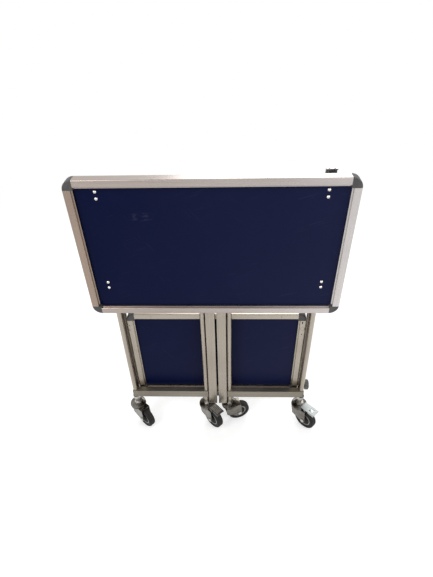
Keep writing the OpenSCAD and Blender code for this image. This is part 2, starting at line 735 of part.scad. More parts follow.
gate_end_plugs(1);  // right_gate_end_plugs
bar_shoes(1);  // right_bar_shoes
caster_stems(1);  // right_caster_stems
support_bar(1);  // right_support_bar
bar_caps(1);  // right_bar_caps
color("gainsboro") fork(0, false);  // left_fork
color("silver") axle(0);  // left_axle
color("gray") wheel_part(0) hub_section();  // left_hub
color("#222226") wheel_part(0) tyre_section();  // left_tyre
color("gainsboro") fork(1, true);  // centre_left_fork
color("silver") axle(1);  // centre_left_axle
color("gray") wheel_part(1) hub_section();  // centre_left_hub
color("#222226") wheel_part(1) tyre_section();  // centre_left_tyre
color("gainsboro") fork(2, false);  // centre_right_fork
color("silver") axle(2);  // centre_right_axle
color("gray") wheel_part(2) hub_section();  // centre_right_hub
color("#222226") wheel_part(2) tyre_section();  // centre_right_tyre
color("gainsboro") fork(3, true);  // right_fork
color("silver") axle(3);  // right_axle
color("gray") wheel_part(3) hub_section();  // right_hub
color("#222226") wheel_part(3) tyre_section();  // right_tyre
ribbed_pedal(1);  // centre_left_pedal
plain_pedal(3);  // right_pedal
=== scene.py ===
"""Looks of the folding serving trolley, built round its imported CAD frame."""

import json
import logging
import math
from dataclasses import dataclass, field
from enum import Enum
from typing import Any, Optional, Protocol, Sequence, Union

import bmesh
import bpy
from mathutils import Matrix, Vector


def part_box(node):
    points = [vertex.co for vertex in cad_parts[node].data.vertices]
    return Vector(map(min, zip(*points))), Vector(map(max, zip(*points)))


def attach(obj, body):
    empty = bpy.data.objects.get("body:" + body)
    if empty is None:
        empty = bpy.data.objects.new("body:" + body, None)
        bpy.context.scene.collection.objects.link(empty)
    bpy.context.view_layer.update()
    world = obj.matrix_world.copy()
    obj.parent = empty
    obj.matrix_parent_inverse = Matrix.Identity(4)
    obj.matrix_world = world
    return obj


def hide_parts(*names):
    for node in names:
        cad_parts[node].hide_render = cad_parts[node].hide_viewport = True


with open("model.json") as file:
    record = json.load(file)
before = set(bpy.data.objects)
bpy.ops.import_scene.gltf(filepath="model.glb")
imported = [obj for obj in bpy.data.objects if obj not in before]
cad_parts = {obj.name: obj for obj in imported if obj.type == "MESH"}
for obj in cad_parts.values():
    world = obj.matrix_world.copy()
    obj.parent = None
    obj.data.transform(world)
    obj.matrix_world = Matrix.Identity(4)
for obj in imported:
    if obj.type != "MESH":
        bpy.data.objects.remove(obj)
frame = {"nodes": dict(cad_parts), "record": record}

log = logging.getLogger("trolley")

Term = Union["Amount", int, float]
Colour = tuple[float, float, float]
Outline = list[tuple[float, float]]
Socket = bpy.types.NodeSocket
MM = 0.001


class Slot(Enum):
    """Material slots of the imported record."""

    ALUMINIUM = "aluminium_frame"
    LAMINATE = "laminate"
    CORNER = "corner_plastic"
    BOLT = "bolt_steel"
    ZINC = "zinc_steel"
    CHROME = "fork_chrome"
    NYLON = "nylon"
    HUB = "hub_plastic"
    TYRE = "tyre_rubber"
    PEDAL = "pedal_plastic"


class Grain(Enum):
    """Direction in which a profile was drawn: its grain's cycles per metre on each axis."""

    ALONG_X = (5.0, 900.0, 900.0)
    ALONG_Z = (900.0, 900.0, 5.0)


class Side(Enum):
    """The two sides of the trolley, as its CAD nodes' names begin."""

    LEFT = "left"
    RIGHT = "right"


class Pedal(Enum):
    """The brake pedal that a caster has."""

    NONE = "none"
    RIBBED = "ribbed"
    PLAIN = "plain"


# ---- Shader expressions ----


class Amount:
    """A number that varies over a surface: a node socket with the operators of arithmetic."""

    def __init__(self, nodes: "NodeTree", socket: Socket) -> None:
        """Wraps a socket.

        Args:
            nodes: the node tree that the socket belongs to.
            socket: the output socket.
        """
        self.nodes = nodes
        self.socket = socket

    def _result(self, operation: str, *values: Term, clamp: bool = False) -> "Amount":
        """Adds one Math node.

        Args:
            operation: the Math node's operation.
            values: its inputs, in order.
            clamp: whether the result is held between 0 and 1.

        Returns:
            The node's result.
        """
        settings = {"operation": operation, "use_clamp": clamp}
        made = self.nodes.node("ShaderNodeMath", settings, dict(enumerate(values)))
        return Amount(self.nodes, made.outputs[0])

    def __add__(self, other: Term) -> "Amount":
        """Sum."""
        return self._result("ADD", self, other)

    __radd__ = __add__

    def __sub__(self, other: Term) -> "Amount":
        """Difference."""
        return self._result("SUBTRACT", self, other)

    def __rsub__(self, other: Term) -> "Amount":
        """Difference from a number."""
        return self._result("SUBTRACT", other, self)

    def __mul__(self, other: Term) -> "Amount":
        """Product."""
        return self._result("MULTIPLY", self, other)

    __rmul__ = __mul__

    def __truediv__(self, other: Term) -> "Amount":
        """Quotient."""
        return self._result("DIVIDE", self, other)

    def __pow__(self, other: Term) -> "Amount":
        """Power."""
        return self._result("POWER", self, other)

    def larger(self, other: Term) -> "Amount":
        """The larger of two amounts."""
        return self._result("MAXIMUM", self, other)

    def held(self) -> "Amount":
        """The same amount, held between 0 and 1."""
        return self._result("ADD", self, 0.0, clamp=True)

    def eased(self, low: float, high: float) -> "Amount":
        """Smooth step between two values.

        Args:
            low: where the result is 0.
            high: where it is 1; it may be below low.

        Returns:
            The step.
        """
        first, second, start, end = (low, high, 0.0, 1.0) if low < high else (high, low, 1.0, 0.0)
        settings = {"interpolation_type": "SMOOTHSTEP"}
        inputs = {0: self, 1: first, 2: second, 3: start, 4: end}
        return Amount(self.nodes, self.nodes.node("ShaderNodeMapRange", settings, inputs).outputs[0])


class NodeTree:
    """The node tree of a material or a world, to which one method adds every node."""

    def __init__(self, owner: Union[bpy.types.Material, bpy.types.World]) -> None:
        """Takes the tree of a material or a world over, and empties it.

        Args:
            owner: the material or the world.
        """
        owner.use_nodes = True
        self.tree = owner.node_tree
        self.tree.nodes.clear()

    def join(self, value: Any, socket: Socket) -> None:
        """Links a value to an input socket, or sets it there where it is a plain one.

        Args:
            value: an amount, an output socket, or a plain value.
            socket: the input socket.
        """
        source = value.socket if isinstance(value, Amount) else value
        if isinstance(source, Socket):
            self.tree.links.new(source, socket)
        else:
            socket.default_value = source

    def node(self, kind: str, settings: Optional[dict[str, Any]] = None,
             inputs: Optional[dict[Any, Any]] = None) -> bpy.types.Node:
        """Adds any node.

        Args:
            kind: the node's type.
            settings: its properties.
            inputs: the values or links of its sockets, by name or by number.

        Returns:
            The new node.
        """
        made = self.tree.nodes.new(kind)
        for label, value in (settings or {}).items():
            setattr(made, label, value)
        for label, value in (inputs or {}).items():
            self.join(value, made.inputs[label])
        return made

    def mixed(self, share: Amount, low: Union[Colour, Socket], high: Union[Colour, Socket]) -> Socket:
        """A colour between two.

        Args:
            share: how much of the second colour.
            low: the first colour.
            high: the second colour.

        Returns:
            The mixed colour's socket.
        """
        first, second = ((*end, 1.0) if isinstance(end, tuple) else end for end in (low, high))
        return self.node("ShaderNodeMix", {"data_type": "RGBA"}, {0: share, 6: first, 7: second}).outputs[2]

    def looking(self) -> Amount:
        """Whether a ray looks at the surroundings.

        Returns:
            1 for a camera, glossy or transmission ray, and 0 for light that falls on the trolley.
        """
        rays = self.node("ShaderNodeLightPath").outputs
        camera, glossy, through = (Amount(self, rays[f"Is {kind} Ray"])
                                   for kind in ("Camera", "Glossy", "Transmission"))
        return camera.larger(glossy).larger(through)


class Shade(NodeTree):
    """The node tree of one of the trolley's materials, with its main shader and its coordinates."""

    def __init__(self, name: str, **constants: Any) -> None:
        """Starts a material.

        Args:
            name: the material's name.
            constants: values of the main shader's sockets, with _ for each space in their names.
        """
        self.material = bpy.data.materials.new(name)
        super().__init__(self.material)
        plain = {label.replace("_", " "): value for label, value in constants.items()}
        self.shader = self.node("ShaderNodeBsdfPrincipled", inputs=plain)
        surface = {"Surface": self.shader.outputs[0]}
        self.node("ShaderNodeOutputMaterial", {"is_active_output": True}, surface)
        self.place = self.node("ShaderNodeTexCoord").outputs["Object"]

    def feed(self, label: str, value: Union[Amount, Socket]) -> None:
        """Links a varying value to one of the main shader's sockets."""
        self.join(value, self.shader.inputs[label])

    def relief(self, height: Amount, depth: float) -> None:
        """Feeds a bump to the shader's normal.

        Args:
            height: the height pattern.
            depth: the height in metres that 1 stands for.
        """
        bump = self.node("ShaderNodeBump", inputs={"Height": height, "Distance": depth})
        self.feed("Normal", bump.outputs[0])

    def along(self, index: int) -> Amount:
        """One coordinate of the object, in metres: 0 for X, 1 for Y and 2 for Z."""
        return Amount(self, self.node("ShaderNodeSeparateXYZ", inputs={0: self.place}).outputs[index])

    def from_axis(self) -> Amount:
        """Distance from the object's Z axis, in metres."""
        x, y = self.along(0), self.along(1)
        return (x * x + y * y) ** 0.5

    def stretched(self, factors: Union[float, Colour], turn: float = 0.0) -> Socket:
        """The object's coordinates, turned about Y and then multiplied.

        Args:
            factors: cycles per metre, on each axis or the same on all.
            turn: the angle of the turn in degrees.

        Returns:
            The vector's socket.
        """
        source = self.place
        if turn:
            inputs = {"Vector": source, "Axis": (0.0, 1.0, 0.0), "Angle": math.radians(turn)}
            source = self.node("ShaderNodeVectorRotate", {"rotation_type": "AXIS_ANGLE"}, inputs).outputs[0]
        scale = factors if isinstance(factors, tuple) else (factors,) * 3
        return self.node("ShaderNodeVectorMath", {"operation": "MULTIPLY"}, {0: source, 1: scale}).outputs[0]

    def noise(self, factors: Union[float, Colour], detail: float, roughness: float,
              turn: float = 0.0) -> Amount:
        """Soft noise, about 0.5 in its middle.

        Args:
            factors: cycles per metre, on each axis or the same on all.
            detail: number of finer layers.
            roughness: strength of the finer layers.
            turn: angle in degrees by which the pattern is turned about Y.

        Returns:
            The noise.
        """
        inputs = {"Vector": self.stretched(factors, turn), "Scale": 1.0, "Detail": detail,
                  "Roughness": roughness}
        return Amount(self, self.node("ShaderNodeTexNoise", inputs=inputs).outputs[0])

    def cells(self, per_metre: float) -> Amount:
        """Distance from the middles of random cells."""
        inputs = {"Vector": self.stretched(per_metre), "Scale": 1.0}
        return Amount(self, self.node("ShaderNodeTexVoronoi", inputs=inputs).outputs[0])

    def scratches(self, turn: float, threshold: float) -> Amount:
        """Thin, broken lines in one direction.

        Args:
            turn: their angle in degrees.
            threshold: how rare they are.

        Returns:
            A mask that is 1 on a scratch.
        """
        lines = self.noise((9.0, 700.0, 700.0), 1.0, 0.4, turn)
        patches = self.noise(11.0, 2.0, 0.5, turn)
        return lines.eased(threshold, threshold + 0.05) * patches.eased(0.5, 0.62)

    def spot(self, middle: tuple[float, float], reach: tuple[float, float], soft: float) -> Amount:
        """An oval spot on an upright face.

        Args:
            middle: its X and Z in metres.
            reach: half its width and half its height in metres.
            soft: share of its reach over which it fades out.

        Returns:
            A mask that is 1 inside the spot.
        """
        across = (self.along(0) - middle[0]) / reach[0]
        upward = (self.along(2) - middle[1]) / reach[1]
        return ((across * across + upward * upward) ** 0.5).eased(1.0, 1.0 - soft)


# ---- Finishes ----


class Finish(Protocol):
    """A finish that can make its material."""

    def material(self) -> bpy.types.Material:
        """Builds the material."""


@dataclass(frozen=True)
class Mark:
    """A small mark on the front of a framed panel, in metres from the frame's side and top."""

    side: Side
    inset: float
    drop: float
    half_w: float
    half_h: float

    def middle(self, node: str) -> tuple[float, float]:
        """The X and Z of its middle.

        Args:
            node: the CAD node whose side and top it is measured from.

        Returns:
            X and Z in metres.
        """
        low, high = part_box(node)
        x = high.x - self.inset if self.side is Side.RIGHT else low.x + self.inset
        return x, high.z - self.drop


@dataclass(frozen=True)
class Anodised:
    """Satin anodised aluminium profile: drawn grain, haze from handling and a few fine scratches.

    Where the two right-hand colours are given, the colour turns to them towards the right: this is painted
    light, a gradient from a darker, browner left to a lighter right. The holes and rings are measured from
    the CAD node named marked.
    """

    name: str = "anodised_aluminium"
    grain: Grain = Grain.ALONG_X
    tone: Colour = (0.46, 0.415, 0.355)
    deep: Colour = (0.30, 0.262, 0.215)
    right_lit_tone: Optional[Colour] = None
    right_lit_deep: Optional[Colour] = None
    half_width: float = 0.35
    roughness: float = 0.30
    scratch: Colour = (0.66, 0.63, 0.58)
    marked: str = "shelf_rim"
    holes: tuple[Mark, ...] = ()
    # The holes' near-black colour is painted shade, the dark inside each hole.
    hole_shade_tone: Colour = (0.012, 0.01, 0.008)
    rings: tuple[Mark, ...] = ()
    ring_tone: Colour = (0.16, 0.12, 0.09)
    ring_inside: float = 0.82

    def ring_band(self, shade: Shade, ring: Mark) -> Amount:
        """The band of a faint worn ring.

        Args:
            shade: the material's node tree.
            ring: the ring.

        Returns:
            A mask that is 1 on the band.
        """
        soft, middle = 0.12, ring.middle(self.marked)
        inner = (ring.half_w * self.ring_inside, ring.half_h * self.ring_inside)
        return shade.spot(middle, (ring.half_w, ring.half_h), soft) - shade.spot(middle, inner, soft)

    def material(self) -> bpy.types.Material:
        """Builds the material."""
        shade = Shade(self.name, Metallic=1.0)
        grain = shade.noise(self.grain.value, 3.0, 0.6)
        haze = shade.noise(7.0, 4.0, 0.6)
        cloud = shade.noise(2.2, 2.0, 0.5)
        marks = shade.scratches(24.0, 0.73)
        share = (grain * 0.45 + cloud * 0.55).eased(0.3, 0.68)
        colour = shade.mixed(share, self.deep, self.tone)
        # Painted light: a left-to-right gradient from the darker colours to the lighter right-hand ones.
        if self.right_lit_tone and self.right_lit_deep:
            across = ((shade.along(0) + self.half_width) / (2 * self.half_width)).held()
            colour = shade.mixed(across, colour, shade.mixed(share, self.right_lit_deep, self.right_lit_tone))
        colour = shade.mixed(marks * 0.35, colour, self.scratch)
        for ring in self.rings:
            colour = shade.mixed((self.ring_band(shade, ring) * 0.5).held(), colour, self.ring_tone)
        # Painted shade: each hole is a near-black spot in place of a real recess.
        for hole in self.holes:
            spot = shade.spot(hole.middle(self.marked), (hole.half_w, hole.half_h), 0.3)
            colour = shade.mixed(spot, colour, self.hole_shade_tone)
        shade.feed("Base Color", colour)
        hazy = haze.eased(0.42, 0.72)
        shade.feed("Roughness", (self.roughness - 0.07 + grain * 0.08 + hazy * 0.12 - marks * 0.06).held())
        shade.relief(grain * 0.8 + marks * -0.7, 0.01 * MM)
        return shade.material


@dataclass(frozen=True)
class Laminate:
    """Navy satin laminate: fine pearl texture, faint rubbed patches and hairline scuffs, with painted light
    that makes it darker on the left and lighter on the right.
    """

    name: str = "navy_laminate"
    # The left and right colours are painted light: the same navy, shaded on the left and lit on the right.
    left: Colour = (0.0016, 0.0044, 0.0325)
    right: Colour = (0.0105, 0.0135, 0.047)
    dust: Colour = (0.018, 0.021, 0.062)
    bare: Colour = (0.10, 0.11, 0.16)
    half_width: float = 0.33
    marked: str = "tabletop_panel"
    scuff: Mark = Mark(Side.LEFT, 0.1585, 0.0885, 0.045, 0.016)

    def material(self) -> bpy.types.Material:
        """Builds the material."""
        shade = Shade(self.name, Specular_IOR_Level=0.05)
        across = (shade.along(0) + self.half_width) / (2 * self.half_width)
        cloud = shade.noise(4.0, 4.0, 0.55)
        pearl = shade.noise(1400.0, 1.0, 0.5)
        rubbed = shade.noise((6.0, 6.0, 13.0), 5.0, 0.62).eased(0.54, 0.74)
        hairs = shade.scratches(18.0, 0.7) + shade.scratches(-52.0, 0.73)
        # Painted light and sheen: a gradient from the darker left to the lighter right, broken up by cloud.
        base = shade.mixed((across * 0.9 + cloud * 0.4 - 0.16).held(), self.left, self.right)
        dusty = shade.mixed((rubbed * 0.14).held(), base, self.dust)
        place = shade.spot(self.scuff.middle(self.marked), (self.scuff.half_w, self.scuff.half_h), 0.5)
        scuffed = shade.noise((55.0, 55.0, 170.0), 3.0, 0.6).eased(0.5, 0.66) * place
        shade.feed("Base Color", shade.mixed((hairs * 0.2 + scuffed * 0.16).held(), dusty, self.bare))
        shade.feed("Roughness", (0.27 + cloud * 0.1 + rubbed * 0.12 + hairs * 0.12).held())
        shade.relief(pearl * 0.5 + hairs * -0.5, 0.012 * MM)
        return shade.material


@dataclass(frozen=True)
class Moulded:
    """Moulded plastic: eroded texture from its tool, slightly polished where hands and shoes reach it."""

    name: str
    tone: Colour
    worn: Colour
    roughness: float = 0.5
    texture: float = 0.03 * MM

    def material(self) -> bpy.types.Material:
        """Builds the material."""
        shade = Shade(self.name, Specular_IOR_Level=0.42)
        texture = shade.noise(1600.0, 2.0, 0.6)
        cloud = shade.noise(28.0, 4.0, 0.6)
        dust = shade.noise(75.0, 4.0, 0.65).eased(0.56, 0.74)
        colour = shade.mixed(cloud.eased(0.35, 0.7), self.tone, self.worn)
        lighter = tuple(min(1.0, channel * 1.9 + 0.02) for channel in self.worn)
        shade.feed("Base Color", shade.mixed(dust * 0.28, colour, lighter))
        shade.feed("Roughness", (self.roughness - 0.08 + cloud * 0.14 + dust * 0.1).held())
        shade.relief(texture, self.texture)
        return shade.material


@dataclass(frozen=True)
class Plated:
    """Plated steel: cloudy bright plating with faint pits, and dull spots where it has aged."""

    name: str
    tone: Colour
    dull: Colour
    roughness: float
    ageing: float

    def material(self) -> bpy.types.Material:
        """Builds the material."""
        shade = Shade(self.name, Metallic=1.0)
        cloud = shade.noise(36.0, 4.0, 0.6)
        spangle = shade.cells(420.0)
        pits = shade.noise(900.0, 2.0, 0.7).eased(0.66, 0.74)
        age = shade.noise(90.0, 5.0, 0.7).eased(0.55, 0.75) * self.ageing
        colour = shade.mixed((cloud * 0.6 + spangle * 0.35).eased(0.25, 0.75), self.dull, self.tone)
        dark = tuple(channel * 0.45 for channel in self.dull)
        shade.feed("Base Color", shade.mixed((age * 0.5 + pits * 0.3).held(), colour, dark))
        shade.feed("Roughness", (self.roughness + cloud * 0.08 + age * 0.25 + pits * 0.2).held())
        shade.relief(spangle * 0.35 - pits * 0.8, 0.012 * MM)
        return shade.material


@dataclass(frozen=True)
class Rubber:
    """Wheel rubber: nearly black on its sides, greyed by floor dust on its tread."""

    name: str = "tyre_rubber"
    tread_r: float = 37.5 * MM
    tread_soft: float = 1.5 * MM
    tone: Colour = (0.0058, 0.0056, 0.006)
    dusty: Colour = (0.034, 0.032, 0.03)

    def material(self) -> bpy.types.Material:
        """Builds the material."""
        shade = Shade(self.name, Specular_IOR_Level=0.24)
        radius = shade.from_axis()
        fine = shade.noise(800.0, 3.0, 0.6)
        patch = shade.noise(60.0, 4.0, 0.65)
        tread = radius.eased(self.tread_r - self.tread_soft, self.tread_r + self.tread_soft)
        dust = (tread * patch.eased(0.3, 0.62) * 0.75 + patch.eased(0.56, 0.78) * 0.18).held()
        shade.feed("Base Color", shade.mixed(dust, self.tone, self.dusty))
        shade.feed("Roughness", (0.5 + dust * 0.3 + fine * 0.12).held())
        shade.relief(fine, 0.06 * MM)
        return shade.material


@dataclass(frozen=True)
class RingedHub:
    """Dark hub plastic with a pale polished ring where it meets the tyre."""

    name: str = "hub_plastic"
    ring_r: float = 23.8 * MM
    ring_half: float = 1.3 * MM
    ring_soft: float = 0.4 * MM
    tone: Colour = (0.028, 0.027, 0.027)
    worn: Colour = (0.055, 0.053, 0.05)
    ring: Colour = (0.36, 0.35, 0.34)

    def material(self) -> bpy.types.Material:
        """Builds the material."""
        shade = Shade(self.name, Specular_IOR_Level=0.45)
        radius = shade.from_axis()
        texture = shade.noise(1500.0, 2.0, 0.6)
        cloud = shade.noise(70.0, 4.0, 0.6)
        inner, outer = self.ring_r - self.ring_half, self.ring_r + self.ring_half
        band = radius.eased(inner - self.ring_soft, inner) * radius.eased(outer + self.ring_soft, outer)
        plain = shade.mixed(cloud.eased(0.35, 0.7), self.tone, self.worn)
        shade.feed("Base Color", shade.mixed((band * (cloud * 0.6 + 0.6)).held(), plain, self.ring))
        shade.feed("Roughness", (0.42 + cloud * 0.12 - band * 0.18).held())
        shade.relief(texture, 0.02 * MM)
        return shade.material


@dataclass(frozen=True)
class RibbedSteel:
    """Dark plated pedal whose rib tops, above the height rib_z, carry a painted highlight."""

    rib_z: float
    name: str = "ribbed_pedal"
    tone: Colour = (0.075, 0.072, 0.068)
    worn: Colour = (0.13, 0.125, 0.118)
    # The bright colour is the painted highlight on the rib tops.
    bright: Colour = (0.62, 0.61, 0.58)

    def material(self) -> bpy.types.Material:
        """Builds the material."""
        shade = Shade(self.name, Metallic=0.85)
        # Painted highlight: the rib tops above rib_z are mixed towards the bright colour.
        rubbed = shade.along(2).eased(self.rib_z, self.rib_z + 0.4 * MM)
        cloud = shade.noise(80.0, 4.0, 0.62)
        fine = shade.noise(900.0, 2.0, 0.6)
        plain = shade.mixed(cloud.eased(0.4, 0.7), self.tone, self.worn)
        shade.feed("Base Color", shade.mixed((rubbed * (cloud * 1.1 + 0.25)).held(), plain, self.bright))
        shade.feed("Roughness", (0.3 + cloud * 0.16 + fine * 0.06).held())
        shade.relief(fine, 0.02 * MM)
        return shade.material


class Paintbox:
    """Makes each finish's material once, and hands it out again for the next piece."""

    def __init__(self) -> None:
        """Starts with no material made."""
        self.made: dict[Finish, bpy.types.Material] = {}

    def material(self, finish: Finish) -> bpy.types.Material:
        """The material of a finish."""
        if finish not in self.made:
            self.made[finish] = finish.material()
        return self.made[finish]


PAINTS = Paintbox()
CORNER = Moulded("corner_plastic", (0.050, 0.048, 0.049), (0.078, 0.074, 0.073), 0.46)
CAP = Moulded("cap_plastic", (0.06, 0.058, 0.058), (0.09, 0.086, 0.084), 0.5)
NYLON = Moulded("black_nylon", (0.022, 0.021, 0.022), (0.04, 0.038, 0.037), 0.42)
KNOB = Moulded("knob_plastic", (0.10, 0.10, 0.098), (0.16, 0.158, 0.152), 0.4)
BOLT = Plated("nickel_bolt", (0.78, 0.75, 0.70), (0.60, 0.57, 0.52), 0.22, 0.25)
ZINC = Plated("zinc_plate", (0.58, 0.57, 0.55), (0.38, 0.37, 0.35), 0.26, 0.5)
# The fork's dark brownish tone and dull colour are painted reflection: the darkness that chrome takes from a
# dark floor, put into its colour.
CHROME = Plated("fork_plating", (0.235, 0.222, 0.20), (0.092, 0.084, 0.072), 0.17, 0.6)
PEDAL_ZINC = Plated("bright_zinc", (0.46, 0.49, 0.485), (0.33, 0.355, 0.35), 0.42, 0.35)
POST = Anodised("post_aluminium", Grain.ALONG_Z)
RAIL = Anodised("rail_aluminium", Grain.ALONG_X)
STILE = Anodised("stile_aluminium", Grain.ALONG_Z)
# Painted shade: the gate's level rails get a darker copy of the same aluminium as the stiles.
SHADED_GATE_RAIL = Anodised("gate_rail_aluminium", Grain.ALONG_X, (0.34, 0.31, 0.262), (0.215, 0.192, 0.156),
                     roughness=0.5)
SHELF_LEVEL = Anodised("shelf_rim_level", Grain.ALONG_X)
SHELF_UPRIGHT = Anodised(
    "shelf_rim_upright", Grain.ALONG_Z,
    # These holes are painted as spots of shade.
    holes=(
        Mark(Side.RIGHT, 11.7 * MM, 33.8 * MM, 2.2 * MM, 6.2 * MM),
        Mark(Side.RIGHT, 3.3 * MM, 59.2 * MM, 1.9 * MM, 2.6 * MM),
        Mark(Side.RIGHT, 9.8 * MM, 82.9 * MM, 1.8 * MM, 2.6 * MM),
        Mark(Side.LEFT, 6.9 * MM, 46.5 * MM, 1.7 * MM, 2.4 * MM),
        Mark(Side.LEFT, 5.4 * MM, 65.2 * MM, 1.7 * MM, 2.4 * MM),
    ),
    rings=(Mark(Side.RIGHT, 8.5 * MM, 58.2 * MM, 8.5 * MM, 8.5 * MM),),
)
# The tabletop rim's colours are painted light: darker and browner on the left, lighter on the right, with the
# uprights darker than the level bars on the left.
TABLETOP_LEVEL = Anodised("tabletop_rim_level", Grain.ALONG_X, (0.44, 0.375, 0.335), (0.30, 0.25, 0.22),
                          (0.56, 0.515, 0.50), (0.40, 0.365, 0.35))
TABLETOP_UPRIGHT = Anodised("tabletop_rim_upright", Grain.ALONG_Z, (0.34, 0.265, 0.215), (0.235, 0.18, 0.142),
                            (0.60, 0.57, 0.555), (0.45, 0.425, 0.41))


# ---- Meshes ----


def cleaned(node: str) -> bmesh.types.BMesh:
    """A CAD node's mesh with its corners merged and its flat faces joined.

    Args:
        node: the CAD node's name.

    Returns:
        The mesh in the row frame, in metres.
    """
    merge, flat = 0.004 * MM, math.radians(0.4)
    source = frame["nodes"][node]
    mesh = bmesh.new()
    mesh.from_mesh(source.data)
    mesh.transform(source.matrix_world)
    bmesh.ops.remove_doubles(mesh, verts=mesh.verts, dist=merge)
    bmesh.ops.dissolve_limit(mesh, angle_limit=flat, verts=mesh.verts, edges=mesh.edges)
    return mesh


def linked_object(name: str, mesh: bmesh.types.BMesh) -> bpy.types.Object:
    """Puts a mesh into the scene as an object.

    Args:
        name: the object's name.
        mesh: the mesh, which is freed.

    Returns:
        The object.
    """
    data = bpy.data.meshes.new(name)
    mesh.to_mesh(data)
    mesh.free()
    made = bpy.data.objects.new(name, data)
    bpy.context.scene.collection.objects.link(made)
    return made


def eased_object(name: str, mesh: bmesh.types.BMesh, edge: float) -> bpy.types.Object:
    """Turns a mesh into a smooth object with eased edges.

    Args:
        name: the object's name.
        mesh: the mesh, which is freed.
        edge: the radius of its eased edges in metres.

    Returns:
        The object, with its modifiers applied.
    """
    smallest_edge, still_sharp = math.radians(38.0), math.radians(75.0)
    made = linked_object(name, mesh)
    plain = made.data
    plain.shade_smooth()
    plain.set_sharp_from_angle(angle=still_sharp)
    bevel = made.modifiers.new("Eased", "BEVEL")
    bevel.width = edge
    bevel.segments = 2
    bevel.limit_method = "ANGLE"
    bevel.angle_limit = smallest_edge
    bevel.use_clamp_overlap = True
    weight = made.modifiers.new("Normals", "WEIGHTED_NORMAL")
    weight.keep_sharp = True
    graph = bpy.context.evaluated_depsgraph_get()
    eased = bpy.data.meshes.new_from_object(made.evaluated_get(graph), depsgraph=graph)
    made.modifiers.clear()
    made.data = eased
    bpy.data.meshes.remove(plain)
    eased.name = name
    return made


def mirrored(side: Outline) -> Outline:
    """Closes an outline whose two halves are alike.

    Args:
        side: (radius, height) points of its upper half in millimetres.

    Returns:
        The points of the whole outline in metres.
    """
    whole = side + [(radius, -height) for radius, height in reversed(side)]
    return [(radius * MM, height * MM) for radius, height in whole]


def revolved(outline: Outline, segments: int = 96) -> bmesh.types.BMesh:
    """Turns a closed outline round the Z axis.

    Args:
        outline: (radius, height) points in metres.
        segments: steps in a full turn.

    Returns:
        The mesh.
    """
    mesh = bmesh.new()
    rings = []
    for step in range(segments):
        angle = 2 * math.pi * step / segments
        cos, sin = math.cos(angle), math.sin(angle)
        rings.append([mesh.verts.new((radius * cos, radius * sin, height)) for radius, height in outline])
    for step in range(segments):
        ring, following = rings[step], rings[(step + 1) % segments]
        for index in range(len(outline)):
            after = (index + 1) % len(outline)
            mesh.faces.new((ring[index], following[index], following[after], ring[after]))
    bmesh.ops.recalc_face_normals(mesh, faces=mesh.faces)
    return mesh


def added_block(mesh: bmesh.types.BMesh, size: Sequence[float], place: Matrix) -> None:
    """Adds a block with a slight draft to a mesh.

    Args:
        mesh: the mesh that gets the block.
        size: its length, width and height in metres.
        place: where its base's middle goes.
    """
    top_share = 0.86
    corners = []
    for height, share in ((0.0, 1.0), (size[2], top_share)):
        for x, y in ((-1, -1), (1, -1), (1, 1), (-1, 1)):
            point = Vector((x * size[0] / 2, y * size[1] / 2 * share, height))
            corners.append(mesh.verts.new(place @ point))
    faces = ((3, 2, 1, 0), (4, 5, 6, 7), (0, 1, 5, 4), (1, 2, 6, 5), (2, 3, 7, 6), (3, 0, 4, 7))
    for face in faces:
        mesh.faces.new([corners[index] for index in face])


# ---- The trolley ----


def joint_of(name: str) -> dict[str, Any]:
    """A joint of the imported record, by its name."""
    return next(joint for joint in frame["record"]["behaviour"]["joints"] if joint["name"] == name)


def body_of(node: str) -> str:
    """The body that a CAD node rides on."""
    bodies = frame["record"]["behaviour"]["bodies"]
    return next(body for body, nodes in bodies.items() if node in nodes)


@dataclass
class Assembly:
    """A sub-assembly of the trolley, and the pieces that were made for it."""

    pieces: list[bpy.types.Object] = field(default_factory=list)

    def build(self) -> None:
        """Builds every piece."""
        raise NotImplementedError

    def keep(self, made: bpy.types.Object, finish: Finish, slot: Slot, body: str, node: str) -> None:
        """Dresses a piece, puts it on its body and lets it stand for its CAD node.

        Args:
            made: the piece, in place in the row frame.
            finish: its finish.
            slot: its material slot; not used.
            body: the body that it rides on.
            node: the CAD node that it stands for.
        """
        made.data.materials.clear()
        made.data.materials.append(PAINTS.material(finish))
        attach(made, body)
        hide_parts(node)
        self.pieces.append(made)
        log.info("%s on %s: %d faces", made.name, body, len(made.data.polygons))

    def carry(self, node: str, finish: Finish, slot: Slot, edge: float = 0.5 * MM) -> bpy.types.Object:
        """Makes a piece from a CAD node's own shape, with its edges eased.

        Args:
            node: the CAD node.
            finish: the piece's finish.
            slot: its material slot.
            edge: radius of its eased edges in metres.

        Returns:
            The piece.
        """
        made = eased_object(f"{node}_form", cleaned(node), edge)
        self.keep(made, finish, slot, body_of(node), node)
        return made


@dataclass
class FramedPanel(Assembly):
    """A laminate panel in its aluminium rim with plastic corner pieces."""

    name: str = "panel"
    panel_edge: float = 0.3 * MM
    rim_edge: float = 0.35 * MM
    corner_edge: float = 1.2 * MM
    corner_reach: float = 25.0 * MM
    level_finish: Anodised = RAIL
    upright_finish: Anodised = POST

    def build(self) -> None:
        """Builds the panel, its rim and its corners."""
        self.carry(f"{self.name}_panel", Laminate(), Slot.LAMINATE, self.panel_edge)
        self.carry_rim()
        self.carry(f"{self.name}_corners", CORNER, Slot.CORNER, self.corner_edge)

    def carry_rim(self) -> None:
        """Carries the rim over with each bar's grain along its own length."""
        node = f"{self.name}_rim"
        made = self.carry(node, self.level_finish, Slot.ALUMINIUM, self.rim_edge)
        made.data.materials.append(PAINTS.material(self.upright_finish))
        low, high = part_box(node)
        reach = self.corner_reach
        for face in made.data.polygons:
            x, z = face.center.x, face.center.z
            on_side = min(x - low.x, high.x - x) < reach and low.z + reach < z < high.z - reach
            face.material_index = 1 if on_side else 0


